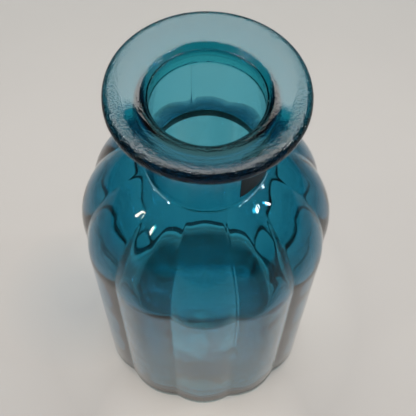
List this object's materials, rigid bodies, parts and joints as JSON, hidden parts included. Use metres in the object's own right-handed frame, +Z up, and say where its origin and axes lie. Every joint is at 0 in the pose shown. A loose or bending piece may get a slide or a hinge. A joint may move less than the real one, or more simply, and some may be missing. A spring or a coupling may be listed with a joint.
{
  "type": "glass bud vase",
  "caption": "Bottle-shaped vase of clear blue glass with a wide dished lip, a short straight neck and a body of bulging vertical lobes.",
  "frame": {"origin": "centre of the foot, on the surface that the vase stands on", "axes": "+Z up along the vase's axis, out of its mouth; -Y towards the front lobe"},
  "size_m": [0.0816, 0.0816, 0.15],
  "materials": {
    "blue_glass": "clear blue glass, glossy, with a lightly pebbled fire-polished lip",
    "dark_label": "dark grey film, matt"
  },
  "bodies": {
    "root": {"lip_flange": "blue_glass", "neck": "blue_glass", "ribbed_body": "blue_glass", "base": "blue_glass", "neck_label": "dark_label"}
  },
  "joints": []
}
